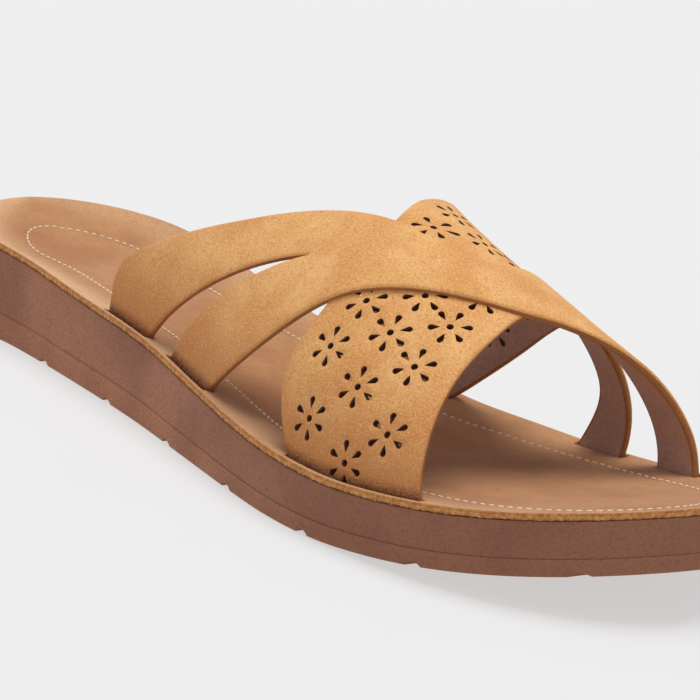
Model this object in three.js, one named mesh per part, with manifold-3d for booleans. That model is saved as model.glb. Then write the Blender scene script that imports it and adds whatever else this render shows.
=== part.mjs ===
// Mule sandal for the right foot: two crossing straps on a cupped footbed over a low wedge sole
// Millimetres. +X runs to the toe, +Y to the inner side of the foot, +Z up. Stations count from the heel.
import * as THREE from 'three';
import { mergeVertices } from 'three/addons/utils/BufferGeometryUtils.js';
import Module from 'manifold-3d';

const wasm = await Module();
wasm.setup();

// Driving sizes of the sole
const soleLength = 256;
const ballWidth = 92;
const heelRise = 24.3; // side of the sole at the back of the heel
const foreRise = 12.8; // side of the sole under the ball and the toes
const toeSpring = 13.4; // lift of the toe tip off the floor
const springStart = 0.68; // share of the length where the toe begins to lift
const heelBand = 7.4; // lower band of the side at the heel
const foreBand = 4.2; // lower band of the side at the toe
const cupDepth = 5.5; // hollow of the footbed at the heel
const cupPower = 3; // how sharply the footbed rises to its rim
const heelRound = 33; // length of the round end at the heel
const toeRound = 55; // length of the round end at the toe
const heelPower = 0.53; // how blunt the two ends are in plan: smaller is blunter
const toePower = 0.6;

// Driving sizes of the layers and the straps
const boardThickness = 0.6;
const insoleThickness = 0.7;
const seamGap = 0.3; // clearance between touching pieces
const slotPlay = 1; // the slots are this much wider than the straps towards the edge of the sole
const layerEdge = 0.5; // the layers face each other this far inside the edge of the sole
const strapWall = 2;
const instepRise = 51.3; // inside of the straps over the rim of the footbed
const strapInset = 4.2; // inside face of the straps from the edge of the sole
const strapSeat = 1; // straps start this far below the rim
const tailLength = 4.5; // strap end let into the sole
const crossPress = 0.3; // how far the upper strap is bonded into the lower one
const outerTuck = 2.4; // how far the straps draw in from a plain arch on the outer side
const innerSwell = 3; // how far they swell beyond it on the inner side
const outerPower = 0.99; // how slowly the straps leave the footbed, on each side
const innerPower = 1.09;
const slitEnd = 0.8; // width of a slit at its closed tip
const slitPower = 0.8; // how soon a slit narrows towards its tip
const dropRate = 100; // the strap ends run straight down by this for each whole share over the foot
// Places over the foot where the plain strap climbs onto the wide one and where it comes down again
const crossing = { climbs: 0.06, onTop: 0.3, descends: 0.52, down: 0.85 };

// Driving sizes of the cross grooves and of the daisies
const grooveFirst = 28;
const groovePitch = 30.8;
const grooveWidth = 4;
const grooveDepth = 1.6;
const petalCount = 6;
const daisyTurn = 16; // degrees from the line of the strap
const petalArc = 110; // degrees that the round end of a petal runs each way from its middle
const petalReach = 4.8; // centre of a daisy to the round end of a petal
const petalLength = 2.65;
const petalWidth = 1.4;

// Plan and side of the sole: at is a share of the length, mid and half are shares of the ball width,
// wedge is a share of what the heel rises over the forefoot, cup is a share of the cup depth
const soleShape = [
  { at: 0.0, mid: 0.008, half: 0.338, wedge: 1.0, cup: 0.9 },
  { at: 0.12, mid: 0.01, half: 0.338, wedge: 0.86, cup: 1.0 },
  { at: 0.18, mid: 0.011, half: 0.335, wedge: 0.79, cup: 0.9 },
  { at: 0.28, mid: -0.018, half: 0.324, wedge: 0.64, cup: 0.65 },
  { at: 0.4, mid: -0.056, half: 0.322, wedge: 0.53, cup: 0.45 },
  { at: 0.51, mid: -0.072, half: 0.36, wedge: 0.3, cup: 0.4 },
  { at: 0.59, mid: -0.068, half: 0.404, wedge: 0.14, cup: 0.38 },
  { at: 0.66, mid: -0.046, half: 0.452, wedge: 0.06, cup: 0.3 },
  { at: 0.735, mid: -0.012, half: 0.481, wedge: 0.01, cup: 0.2 },
  { at: 0.82, mid: 0.028, half: 0.479, wedge: 0.0, cup: 0.18 },
  { at: 0.9, mid: 0.054, half: 0.486, wedge: 0.0, cup: 0.22 },
  { at: 1.0, mid: 0.06, half: 0.49, wedge: 0.0, cup: 0.25 },
];

// Top of the last under the straps: rise is a share of the instep rise, lean is a share of the ball width
const lastShape = [
  { at: 0.33, rise: 0.89, lean: 0.04 },
  { at: 0.51, rise: 0.984, lean: 0.154 },
  { at: 0.685, rise: 0.868, lean: -0.017 },
  { at: 0.88, rise: 0.38, lean: -0.001 },
];

// Edges of the straps as shares of the length: over runs from the outer base, 0, to the inner base, 1
const strapEdges = [
  { over: 0.0, plainRear: 0.323, plainFront: 0.522, wideRear: 0.672, wideFront: 0.822 },
  { over: 0.1, plainRear: 0.332, plainFront: 0.575, wideRear: 0.635, wideFront: 0.81 },
  { over: 0.25, plainRear: 0.483, plainFront: 0.649, wideRear: 0.635, wideFront: 0.788 },
  { over: 0.4, plainRear: 0.615, plainFront: 0.726, wideRear: 0.614, wideFront: 0.773 },
  { over: 0.5, plainRear: 0.694, plainFront: 0.764, wideRear: 0.59, wideFront: 0.761 },
  { over: 0.65, plainRear: 0.697, plainFront: 0.798, wideRear: 0.562, wideFront: 0.743 },
  { over: 0.85, plainRear: 0.724, plainFront: 0.827, wideRear: 0.489, wideFront: 0.65 },
  { over: 1.0, plainRear: 0.703, plainFront: 0.837, wideRear: 0.39, wideFront: 0.573 },
];

// Slits that split the plain strap: middle and width are shares of the length, the width closes at the tip
const outerSlit = { base: 0.0, tip: 0.25, width: 0.047, middle: [0.423, 0.479, 0.573] };
const innerSlit = { base: 1.0, tip: 0.695, width: 0.04, middle: [0.77, 0.767, 0.746] };

// Daisies of the wide strap: over as above, across runs from its rear edge to its front edge
const daisies = [
  { over: 0.036, across: 0.52 },
  { over: 0.072, across: 0.26 },
  { over: 0.112, across: 0.78 },
  { over: 0.156, across: 0.52 },
  { over: 0.18, across: 0.23 },
  { over: 0.24, across: 0.76 },
  { over: 0.26, across: 0.52 },
  { over: 0.272, across: 0.26 },
  { over: 0.344, across: 0.79 },
  { over: 0.356, across: 0.56 },
  { over: 0.448, across: 0.81 },
  { over: 0.484, across: 0.28 },
  { over: 0.564, across: 0.19 },
  { over: 0.58, across: 0.46 },
  { over: 0.636, across: 0.62 },
  { over: 0.66, across: 0.23 },
  { over: 0.7, across: 0.48 },
  { over: 0.76, across: 0.75 },
  { over: 0.79, across: 0.25 },
  { over: 0.83, across: 0.47 },
  { over: 0.848, across: 0.745 },
  { over: 0.92, across: 0.6 },
];

// Mesh fineness
const stationCount = 31;
const footbedColumnCount = 4;
const strapRowCount = 26;
const strapColumnCount = 4;
const petalSideCount = 3;
const grooveSideCount = 5;
const rowSpread = 12; // the smaller, the closer the rows of a strap crowd to its two bases
const mergeDistance = 1e-4;
const meshTolerance = 0.03;
const probeStep = 0.5; // directions on the last are taken over this distance each way
const probeShare = 0.004;
const slotReachShare = 0.06; // slots rise this far over the foot, clear of the footbed
const beyond = 1; // cutters reach this far past what they cut

// Value of one column of a table at a place along another, as a smooth curve through the rows
function follow(rows, place, column, t) {
  const last = rows.length - 1;
  if (t <= rows[0][place]) return rows[0][column];
  if (t >= rows[last][place]) return rows[last][column];
  const i = rows.findIndex((row) => row[place] > t) - 1;
  const slope = (k) => {
    const a = Math.max(k - 1, 0);
    const b = Math.min(k + 1, last);
    return (rows[b][column] - rows[a][column]) / (rows[b][place] - rows[a][place]);
  };
  const span = rows[i + 1][place] - rows[i][place];
  const s = (t - rows[i][place]) / span;
  const rest = 1 - s;
  return rows[i][column] * (1 + 2 * s) * rest * rest
    + slope(i) * span * s * rest * rest
    + rows[i + 1][column] * s * s * (3 - 2 * s)
    - slope(i + 1) * span * s * s * rest;
}

const mix = THREE.MathUtils.lerp;
const sole = (column, x) => follow(soleShape, 'at', column, x / soleLength);
const last = (column, x) => follow(lastShape, 'at', column, x / soleLength);

// Roundness of the two ends in plan: 1 along the middle, 0 at the tips
function endRound(x) {
  const heel = 1 - Math.min(x / heelRound, 1);
  const toe = 1 - Math.min((soleLength - x) / toeRound, 1);
  return (1 - heel * heel) ** heelPower * (1 - toe * toe) ** toePower;
}

const middleY = (x) => ballWidth * sole('mid', x);
const halfWidth = (x) => ballWidth * sole('half', x) * endRound(x);

// Heights of the layers at station x; side runs from -1 at the outer edge to 1 at the inner edge
const floorLine = (x) => toeSpring * Math.max(0, (x / soleLength - springStart) / (1 - springStart)) ** 2;
const bandTop = (x) => floorLine(x) + mix(foreBand, heelBand, sole('wedge', x));
const rimLine = (x) => floorLine(x) + mix(foreRise, heelRise, sole('wedge', x));
const cup = (x, side) => cupDepth * sole('cup', x) * endRound(x) ** 2 * (1 - Math.abs(side) ** cupPower);
const midsoleTop = (x, side) => rimLine(x) - cup(x, side);
const boardBottom = (x, side) => midsoleTop(x, side) + seamGap;
const boardTop = (x, side) => boardBottom(x, side) + boardThickness;
const insoleBottom = (x, side) => boardTop(x, side) + seamGap;
const insoleTop = (x, side) => insoleBottom(x, side) + insoleThickness;

// A mesh under construction: triangles and quads from points, closed when its corners are merged
class Skin {
  constructor() {
    this.corners = [];
  }

  triangle(a, b, c) {
    for (const point of [a, b, c]) this.corners.push(point.x, point.y, point.z);
  }

  quad(a, b, c, d) {
    this.triangle(a, b, c);
    this.triangle(a, c, d);
  }

  // Surface between two rows of points with equal counts
  strip(first, second) {
    for (let i = 0; i + 1 < first.length; i += 1) {
      this.quad(first[i], first[i + 1], second[i + 1], second[i]);
    }
  }

  solid() {
    const soup = new THREE.BufferGeometry();
    soup.setAttribute('position', new THREE.Float32BufferAttribute(this.corners, 3));
    return solidOf(soup);
  }
}

// A solid from a closed geometry: shared corners are merged and triangles without area are dropped
function solidOf(geometry) {
  const bare = new THREE.BufferGeometry();
  bare.setAttribute('position', geometry.getAttribute('position').clone());
  if (geometry.index) bare.setIndex(geometry.index.clone());
  const merged = mergeVertices(bare, mergeDistance);
  const index = merged.index.array;
  const kept = [];
  for (let i = 0; i < index.length; i += 3) {
    const [a, b, c] = [index[i], index[i + 1], index[i + 2]];
    if (a !== b && b !== c && c !== a) kept.push(a, b, c);
  }
  return new wasm.Manifold(new wasm.Mesh({
    numProp: 3,
    vertProperties: new Float32Array(merged.getAttribute('position').array),
    triVerts: new Uint32Array(kept),
  }));
}

function geometryOf(solid) {
  const mesh = solid.getMesh();
  const geometry = new THREE.BufferGeometry();
  geometry.setAttribute('position', new THREE.Float32BufferAttribute(mesh.vertProperties, mesh.numProp));
  geometry.setIndex(new THREE.Uint32BufferAttribute(mesh.triVerts, 1));
  const faceted = geometry.toNonIndexed();
  faceted.computeVertexNormals();
  return faceted;
}

// Plan outline of the sole as a loop of points with outward directions: from the heel tip along the
// outer side to the toe tip, and back along the inner side
function planLoop() {
  const rim = [];
  for (let i = 0; i < 2 * stationCount; i += 1) {
    const x = soleLength * (1 - Math.cos((Math.PI * i) / stationCount)) / 2;
    const side = i < stationCount ? -1 : 1;
    rim.push({ x, side, y: middleY(x) + side * halfWidth(x) });
  }
  return rim.map((point, i) => {
    const before = rim[(i + rim.length - 1) % rim.length];
    const after = rim[(i + 1) % rim.length];
    const outward = new THREE.Vector2(after.y - before.y, before.x - after.x).normalize();
    return { ...point, outward };
  });
}
const outline = planLoop();

// One layer of the sole. The wall lists its rings from the bottom to the top: out is how far each ring
// lies outside the outline, up is its share of the layer's height
function layer({ bottom, top, wall, acrossBottom, acrossTop }) {
  const skin = new Skin();
  const rings = wall.map(({ out, up }) => outline.map(({ x, y, outward }) => {
    const z = mix(bottom(x, 1), top(x, 1), up);
    return new THREE.Vector3(x + out * outward.x, y + out * outward.y, z);
  }));
  for (let k = 0; k + 1 < rings.length; k += 1) {
    skin.strip([...rings[k], rings[k][0]], [...rings[k + 1], rings[k + 1][0]]);
  }
  const face = (ring, height, across, upward) => {
    const rows = [];
    for (let i = 0; i <= stationCount; i += 1) {
      const outer = ring[i];
      const inner = ring[(ring.length - i) % ring.length];
      const row = [];
      for (let j = 0; j <= across; j += 1) {
        const point = outer.clone().lerp(inner, j / across);
        if (j > 0 && j < across) point.z = height(outline[i].x, mix(-1, 1, j / across));
        row.push(point);
      }
      rows.push(row);
    }
    for (let i = 0; i < stationCount; i += 1) {
      if (upward) skin.strip(rows[i + 1], rows[i]);
      else skin.strip(rows[i], rows[i + 1]);
    }
  };
  face(rings[0], bottom, acrossBottom, false);
  face(rings[rings.length - 1], top, acrossTop, true);
  return skin.solid();
}

// Surface of the last: over runs from the outer base of the straps, 0, to their inner base, 1, and
// past both it drops straight down
const swellPeak = 2 / Math.sqrt(27); // greatest value of the swell's shape, so that the swell is in millimetres
function lastPoint(x, over) {
  const held = THREE.MathUtils.clamp(over, 0, 1);
  const turn = Math.PI * held;
  const s = Math.sin(turn);
  const c = Math.cos(turn);
  const halfSpan = halfWidth(x) - strapInset;
  const swell = (c > 0 ? outerTuck : innerSwell) * (s * s * Math.abs(c)) / swellPeak;
  const power = c > 0 ? outerPower : innerPower;
  const y = middleY(x) - halfSpan * c + swell + ballWidth * last('lean', x) * s * s;
  const rise = instepRise * last('rise', x) * s ** power;
  const drop = dropRate * Math.abs(over - held);
  return new THREE.Vector3(x, y, insoleTop(x, 1) - strapSeat + rise - drop);
}

// Directions at a place on the last: forward along x, over the foot, and out of the surface
function lastFrame(x, over) {
  const forward = lastPoint(x + probeStep, over).sub(lastPoint(x - probeStep, over)).divideScalar(2 * probeStep);
  const along = lastPoint(x, over + probeShare).sub(lastPoint(x, over - probeShare)).divideScalar(2 * probeShare);
  const out = forward.clone().cross(along).normalize();
  return { forward, along, out };
}

const above = (x, over, height) => lastPoint(x, over).addScaledVector(lastFrame(x, over).out, height);

// Strap edges and heights over the last
const edge = (column) => (over) => soleLength * follow(strapEdges, 'over', column, over);
const plainRear = edge('plainRear');
const plainFront = edge('plainFront');
const wideRear = edge('wideRear');
const wideFront = edge('wideFront');
const flat = () => 0;
const raised = (low) => (over) => low(over) + strapWall;

// The plain strap lies on the last at its ends and climbs over the wide strap between them
function plainLow(over) {
  const climb = THREE.MathUtils.smoothstep(over, crossing.climbs, crossing.onTop);
  const descend = THREE.MathUtils.smoothstep(over, crossing.descends, crossing.down);
  return (strapWall - crossPress) * climb * (1 - descend);
}

// Edges of a slit, which is widest at the base
function slitEdge(slit, side) {
  return (over) => {
    const held = THREE.MathUtils.clamp(over, 0, 1);
    const toTip = THREE.MathUtils.clamp((held - slit.base) / (slit.tip - slit.base), 0, 1);
    const [base, half, tip] = slit.middle;
    const bend = base * (1 - toTip) * (1 - 2 * toTip) + 4 * half * toTip * (1 - toTip) + tip * toTip * (2 * toTip - 1);
    const width = Math.max(soleLength * slit.width * (1 - toTip) ** slitPower, slitEnd);
    return soleLength * bend + (side * width) / 2;
  };
}

// Closed solid that follows the last between two edges and two heights, with a row at each of its places
function band({ rear, front, low, high, places, across }) {
  const face = (height) => places.map((over) => Array.from({ length: across + 1 }, (_, j) => (
    above(mix(rear(over), front(over), j / across), over, height(over)))));
  const lows = face(low);
  const highs = face(high);
  const steps = places.length - 1;
  const skin = new Skin();
  const column = (rows, j) => rows.map((row) => row[j]);
  for (let i = 0; i < steps; i += 1) {
    skin.strip(lows[i + 1], lows[i]);
    skin.strip(highs[i], highs[i + 1]);
  }
  skin.strip(column(highs, 0), column(lows, 0));
  skin.strip(column(lows, across), column(highs, across));
  skin.strip(lows[0], highs[0]);
  skin.strip(highs[steps], lows[steps]);
  return skin.solid();
}

// Places on the last from points in millimetres round one place: along the strap and across it
function placesRound(x, over, points) {
  const { forward, along, out } = lastFrame(x, over);
  const lengthwise = along.clone().normalize();
  const sideways = out.clone().cross(lengthwise);
  const skew = forward.dot(along);
  const scale = forward.lengthSq() * along.lengthSq() - skew * skew;
  return points.map((point) => {
    const move = lengthwise.clone().multiplyScalar(point.x).addScaledVector(sideways, point.y);
    const f = move.dot(forward);
    const a = move.dot(along);
    return [x + (f * along.lengthSq() - a * skew) / scale, over + (a * forward.lengthSq() - f * skew) / scale];
  });
}

// Straight prism through a strap from points in millimetres round a place on it
function through(x, over, points, low, high) {
  const spots = placesRound(x, over, points);
  const count = spots.length;
  const middle = [0, 1].map((k) => spots.reduce((sum, spot) => sum + spot[k], 0) / count);
  const { out } = lastFrame(...middle);
  const floor = spots.map((spot) => lastPoint(...spot).addScaledVector(out, low));
  const roof = spots.map((spot) => lastPoint(...spot).addScaledVector(out, high));
  const skin = new Skin();
  skin.strip([...floor, floor[0]], [...roof, roof[0]]);
  for (const [a, b, c] of THREE.ShapeUtils.triangulateShape(points, [])) {
    skin.triangle(roof[a], roof[b], roof[c]);
    skin.triangle(floor[c], floor[b], floor[a]);
  }
  return skin.solid();
}

// Petal pointed at the centre of its daisy and round at its far end
function petalPoints(angle) {
  const round = petalWidth / 2;
  const centre = petalReach - round;
  const points = [new THREE.Vector2(petalReach - petalLength, 0)];
  for (let i = 0; i <= petalSideCount; i += 1) {
    const turn = THREE.MathUtils.degToRad(mix(-petalArc, petalArc, i / petalSideCount));
    points.push(new THREE.Vector2(centre + round * Math.cos(turn), round * Math.sin(turn)));
  }
  return points.map((point) => point.rotateAround(new THREE.Vector2(), angle));
}

// Cutters for the petals that the plain strap leaves in view
function petalCutters() {
  const covered = ([x, over]) => x > plainRear(over) - petalWidth && x < plainFront(over) + petalWidth;
  const cutters = [];
  for (const daisy of daisies) {
    const x = mix(wideRear(daisy.over), wideFront(daisy.over), daisy.across);
    for (let i = 0; i < petalCount; i += 1) {
      const angle = THREE.MathUtils.degToRad(daisyTurn) + (2 * Math.PI * i) / petalCount;
      const points = petalPoints(angle);
      if (placesRound(x, daisy.over, points).some(covered)) continue;
      cutters.push(through(x, daisy.over, points, -beyond, strapWall + beyond));
    }
  }
  return cutters;
}

// Where the straps pass into the sole: one row for each end, from its rear edge to its front edge
const tailShare = tailLength / dropRate;
const strapEnds = [
  { rear: plainRear, front: slitEdge(outerSlit, -1), outer: true },
  { rear: slitEdge(outerSlit, 1), front: plainFront, outer: true },
  { rear: wideRear, front: wideFront, outer: true },
  { rear: wideRear, front: wideFront, outer: false },
  { rear: plainRear, front: slitEdge(innerSlit, -1), outer: false },
  { rear: slitEdge(innerSlit, 1), front: plainFront, outer: false },
];

// Rows over the foot, closer near the bases, and the same in the straps and in what cuts or clears them
function placesBetween(from, to) {
  const inner = Array.from({ length: strapRowCount + 1 }, (_, i) => {
    const share = i / strapRowCount;
    return share - Math.sin(2 * Math.PI * share) / rowSpread;
  });
  return [from, ...inner.filter((over) => over > from + 1e-6 && over < to - 1e-6), to];
}

// Slots round the strap ends, wider than the ends by the seam gap, and by the slot's play outside them
function slotCutters() {
  const depth = tailShare + seamGap / dropRate;
  return strapEnds.map(({ rear, front, outer }) => band({
    rear: (over) => rear(over) - seamGap,
    front: (over) => front(over) + seamGap,
    low: () => -seamGap,
    high: () => strapWall + slotPlay,
    places: outer ? placesBetween(-depth, slotReachShare) : placesBetween(1 - slotReachShare, 1 + depth),
    across: strapColumnCount,
  }));
}

function upper() {
  const span = { places: placesBetween(-tailShare, 1 + tailShare), across: strapColumnCount };
  const wide = band({ rear: wideRear, front: wideFront, low: flat, high: raised(flat), ...span });
  const plain = band({ rear: plainRear, front: plainFront, low: plainLow, high: raised(plainLow), ...span });
  const slit = (shape, from, to) => band({
    rear: slitEdge(shape, -1),
    front: slitEdge(shape, 1),
    low: (over) => plainLow(over) - beyond,
    high: (over) => plainLow(over) + strapWall + beyond,
    places: placesBetween(from, to),
    across: 1,
  });
  const past = tailShare + beyond / dropRate;
  const outerCut = slit(outerSlit, -past, outerSlit.tip);
  const innerCut = slit(innerSlit, innerSlit.tip, 1 + past);
  const split = plain.subtract(outerCut).subtract(innerCut);
  const pierced = petalCutters().reduce((strap, petal) => strap.subtract(petal), wide);
  return pierced.add(split).simplify(meshTolerance);
}

function insole() {
  const wall = [
    { out: -layerEdge, up: 0 },
    { out: -0.2, up: 0.3 },
    { out: -0.2, up: 0.65 },
    { out: -layerEdge, up: 1 },
  ];
  return layer({ bottom: insoleBottom, top: insoleTop, wall, acrossBottom: footbedColumnCount, acrossTop: footbedColumnCount });
}

function footbedBoard() {
  const wall = [
    { out: -layerEdge, up: 0 },
    { out: 0, up: 0.5 },
    { out: -layerEdge, up: 1 },
  ];
  return layer({ bottom: boardBottom, top: boardTop, wall, acrossBottom: footbedColumnCount, acrossTop: footbedColumnCount });
}

function midsole() {
  const wall = [
    { out: -layerEdge, up: 0 },
    { out: -0.15, up: 0.5 },
    { out: 0, up: 0.92 },
    { out: -layerEdge, up: 1 },
  ];
  const bottom = (x) => bandTop(x) + seamGap;
  return layer({ bottom, top: midsoleTop, wall, acrossBottom: 1, acrossTop: footbedColumnCount });
}

// Rounded cross grooves in the ground face
function grooveCutters() {
  const shape = new THREE.Shape();
  shape.moveTo(-grooveWidth / 2, -beyond);
  shape.lineTo(grooveWidth / 2, -beyond);
  shape.lineTo(grooveWidth / 2, 0);
  shape.bezierCurveTo(grooveWidth / 2, grooveDepth, -grooveWidth / 2, grooveDepth, -grooveWidth / 2, 0);
  const depth = 2 * ballWidth;
  const cutters = [];
  for (let x = grooveFirst; x < soleLength - grooveWidth; x += groovePitch) {
    const prism = new THREE.ExtrudeGeometry(shape, { depth, bevelEnabled: false, curveSegments: grooveSideCount });
    prism.translate(0, 0, -depth / 2);
    prism.rotateX(Math.PI / 2);
    prism.translate(x, 0, floorLine(x));
    cutters.push(solidOf(prism));
  }
  return cutters;
}

// Lower band of the sole, with a small lip along its upper edge
function outsole() {
  const wall = [
    { out: -0.95, up: 0 },
    { out: -0.6, up: 0.14 },
    { out: -0.35, up: 0.84 },
    { out: -0.1, up: 0.9 },
    { out: -0.3, up: 1 },
  ];
  const block = layer({ bottom: floorLine, top: bandTop, wall, acrossBottom: 1, acrossTop: 1 });
  return grooveCutters().reduce((solid, groove) => solid.subtract(groove), block);
}

// Materials with the colours of the photo
const tanSuede = new THREE.MeshStandardMaterial({ color: 0xd9a066, roughness: 0.85, metalness: 0 });
const tanInsole = new THREE.MeshStandardMaterial({ color: 0xb98a5c, roughness: 0.9, metalness: 0 });
const tanBoard = new THREE.MeshStandardMaterial({ color: 0xa87848, roughness: 0.9, metalness: 0 });
const brownFoam = new THREE.MeshStandardMaterial({ color: 0x7d5744, roughness: 0.7, metalness: 0 });
const brownRubber = new THREE.MeshStandardMaterial({ color: 0x7b5342, roughness: 0.75, metalness: 0 });

function piece(name, solid, material) {
  const mesh = new THREE.Mesh(geometryOf(solid), material);
  mesh.name = name;
  return mesh;
}

const cutSlots = (solid) => slotCutters().reduce((rest, slot) => rest.subtract(slot), solid);

const sandal = new THREE.Group();
sandal.add(
  piece('outsole', outsole(), brownRubber),
  piece('midsole', cutSlots(midsole()), brownFoam),
  piece('footbed_board', cutSlots(footbedBoard()), tanBoard),
  piece('insole', cutSlots(insole()), tanInsole),
  piece('upper', upper(), tanSuede),
);

// The origin is under the middle of the sandal, on the floor
const box = new THREE.Box3().setFromObject(sandal);
const centre = box.getCenter(new THREE.Vector3());
sandal.position.set(-centre.x, -centre.y, -box.min.z);

export default sandal;
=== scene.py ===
# %% [markdown]
# # A mule sandal, dressed for the photo
# The sandal is a slip-on slide: a low brown wedge sole, a tan footbed with a cream stitch line, and two
# nubuck straps that cross over the foot. One strap is plain and splits in two towards each side. The other
# is wide and is pierced with daisies.
#
# The model comes in from the CAD as five plain solids. They hold the sizes. This file lays the real
# surfaces over them: rounded cut edges, punched petals, thread, nap, grain and the pebble of the sole.
# Everything here is in the shoe's own millimetres, and is turned into metres at the very end of each step.

import math

import bmesh
import bpy
from mathutils import Matrix, Vector, geometry, kdtree, noise


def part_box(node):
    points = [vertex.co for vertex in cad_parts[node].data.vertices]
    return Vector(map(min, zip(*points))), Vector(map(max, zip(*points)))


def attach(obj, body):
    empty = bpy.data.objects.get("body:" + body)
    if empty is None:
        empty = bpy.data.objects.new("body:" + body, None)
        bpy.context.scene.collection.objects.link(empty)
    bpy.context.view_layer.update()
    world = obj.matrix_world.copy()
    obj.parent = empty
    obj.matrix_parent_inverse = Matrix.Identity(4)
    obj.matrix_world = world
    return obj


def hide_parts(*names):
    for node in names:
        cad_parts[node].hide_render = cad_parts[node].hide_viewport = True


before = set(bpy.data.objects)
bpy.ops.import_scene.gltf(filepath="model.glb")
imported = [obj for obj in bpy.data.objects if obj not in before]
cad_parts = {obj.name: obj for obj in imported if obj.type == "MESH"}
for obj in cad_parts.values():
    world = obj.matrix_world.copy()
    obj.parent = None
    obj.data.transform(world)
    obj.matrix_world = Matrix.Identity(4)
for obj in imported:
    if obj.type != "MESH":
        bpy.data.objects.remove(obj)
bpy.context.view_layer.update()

# %% [markdown]
# ## The sizes of the shoe
# A shoemaker starts from a last and from a table of widths along it. The same table is used here, so that
# every surface lands on the solid that it stands for. Stations count from the back of the heel, widths are
# shares of the ball width, and "over" runs over the foot from the outer side, 0, to the inner side, 1.

# %% Sizes of the sole and the straps
SOLE_LENGTH = 256
BALL_WIDTH = 92
HEEL_RISE = 24.3
FORE_RISE = 12.8
TOE_SPRING = 13.4
SPRING_START = 0.68
HEEL_BAND = 7.4
FORE_BAND = 4.2
CUP_DEPTH = 5.5
CUP_POWER = 3
BOARD = 0.6
COVER = 0.7
SEAM = 0.3
WALL = 2
INSTEP_RISE = 51.3
STRAP_INSET = 4.2
STRAP_SEAT = 1
TAIL = 4.5
DROP_RATE = 100
PRESS = 0.3

SOLE_ROWS = ("at", "mid", "half", "wedge", "cup")
SOLE_TABLE = [
    (0.0, 0.008, 0.338, 1.0, 0.9),
    (0.12, 0.01, 0.338, 0.86, 1.0),
    (0.18, 0.011, 0.335, 0.79, 0.9),
    (0.28, -0.018, 0.324, 0.64, 0.65),
    (0.4, -0.056, 0.322, 0.53, 0.45),
    (0.51, -0.072, 0.36, 0.3, 0.4),
    (0.59, -0.068, 0.404, 0.14, 0.38),
    (0.66, -0.046, 0.452, 0.06, 0.3),
    (0.735, -0.012, 0.481, 0.01, 0.2),
    (0.82, 0.028, 0.479, 0.0, 0.18),
    (0.9, 0.054, 0.486, 0.0, 0.22),
    (1.0, 0.06, 0.49, 0.0, 0.25),
]
LAST_ROWS = ("at", "rise", "lean")
LAST_TABLE = [
    (0.33, 0.89, 0.04),
    (0.51, 0.984, 0.154),
    (0.685, 0.868, -0.017),
    (0.88, 0.38, -0.001),
]
STRAP_ROWS = ("over", "plain_rear", "plain_front", "wide_rear", "wide_front")
STRAP_TABLE = [
    (0.0, 0.323, 0.522, 0.672, 0.822),
    (0.1, 0.332, 0.575, 0.635, 0.81),
    (0.25, 0.483, 0.649, 0.635, 0.788),
    (0.4, 0.615, 0.726, 0.614, 0.773),
    (0.5, 0.694, 0.764, 0.59, 0.761),
    (0.65, 0.697, 0.798, 0.562, 0.743),
    (0.85, 0.724, 0.827, 0.489, 0.65),
    (1.0, 0.703, 0.837, 0.39, 0.573),
]


def clamp(value, low=0.0, high=1.0):
    return max(low, min(high, value))


def mix(a, b, t):
    return a + (b - a) * t


def smooth(value, low, high):
    t = clamp((value - low) / (high - low))
    return t * t * (3 - 2 * t)


def follow(names, rows, column, t):
    """The value of a table's column at t, on a smooth curve through its rows."""
    k = names.index(column)
    last = len(rows) - 1
    if t <= rows[0][0]:
        return rows[0][k]
    if t >= rows[last][0]:
        return rows[last][k]
    i = max(j for j in range(last) if rows[j][0] <= t)

    def slope(j):
        a, b = rows[max(j - 1, 0)], rows[min(j + 1, last)]
        return (b[k] - a[k]) / (b[0] - a[0])

    span = rows[i + 1][0] - rows[i][0]
    s = (t - rows[i][0]) / span
    rest = 1 - s
    start = rows[i][k] * (1 + 2 * s) * rest * rest + slope(i) * span * s * rest * rest
    end = rows[i + 1][k] * s * s * (3 - 2 * s) - slope(i + 1) * span * s * s * rest
    return start + end


def sole(column, x):
    """A value of the sole's table at a station."""
    return follow(SOLE_ROWS, SOLE_TABLE, column, x / SOLE_LENGTH)


def last(column, x):
    """A value of the last's table at a station."""
    return follow(LAST_ROWS, LAST_TABLE, column, x / SOLE_LENGTH)


print("ball:", round(BALL_WIDTH * 2 * sole("half", 0.735 * SOLE_LENGTH)), "mm wide")

# %% Plan and heights of the sole
HEEL_ROUND = 33
HEEL_POWER = 0.53
TOE_ROUND = 55
TOE_POWER = 0.6


def end_round(x):
    """1 along the middle of the sole, and 0 at its two tips."""
    heel = 1 - clamp(x / HEEL_ROUND)
    toe = 1 - clamp((SOLE_LENGTH - x) / TOE_ROUND)
    return max(1 - heel * heel, 0) ** HEEL_POWER * max(1 - toe * toe, 0) ** TOE_POWER


def middle(x):
    return BALL_WIDTH * sole("mid", x)


def half_width(x):
    return BALL_WIDTH * sole("half", x) * end_round(x)


def floor_line(x):
    return TOE_SPRING * max(0, (x / SOLE_LENGTH - SPRING_START) / (1 - SPRING_START)) ** 2


def band_line(x):
    return floor_line(x) + mix(FORE_BAND, HEEL_BAND, sole("wedge", x))


def rim_line(x):
    return floor_line(x) + mix(FORE_RISE, HEEL_RISE, sole("wedge", x))


def cup(x, side):
    return CUP_DEPTH * sole("cup", x) * end_round(x) ** 2 * (1 - min(abs(side), 1) ** CUP_POWER)


def board_height(x, side):
    return rim_line(x) - cup(x, side) + SEAM


def cover_height(x, side):
    """Underside of the tan cover."""
    return board_height(x, side) + BOARD + SEAM


def footbed(x, side):
    """Top of the tan cover, where the foot stands."""
    return cover_height(x, side) + COVER


print("footbed at the heel:", round(footbed(30, 0), 1), "mm; its rim:", round(footbed(30, 1), 1), "mm")

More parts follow.
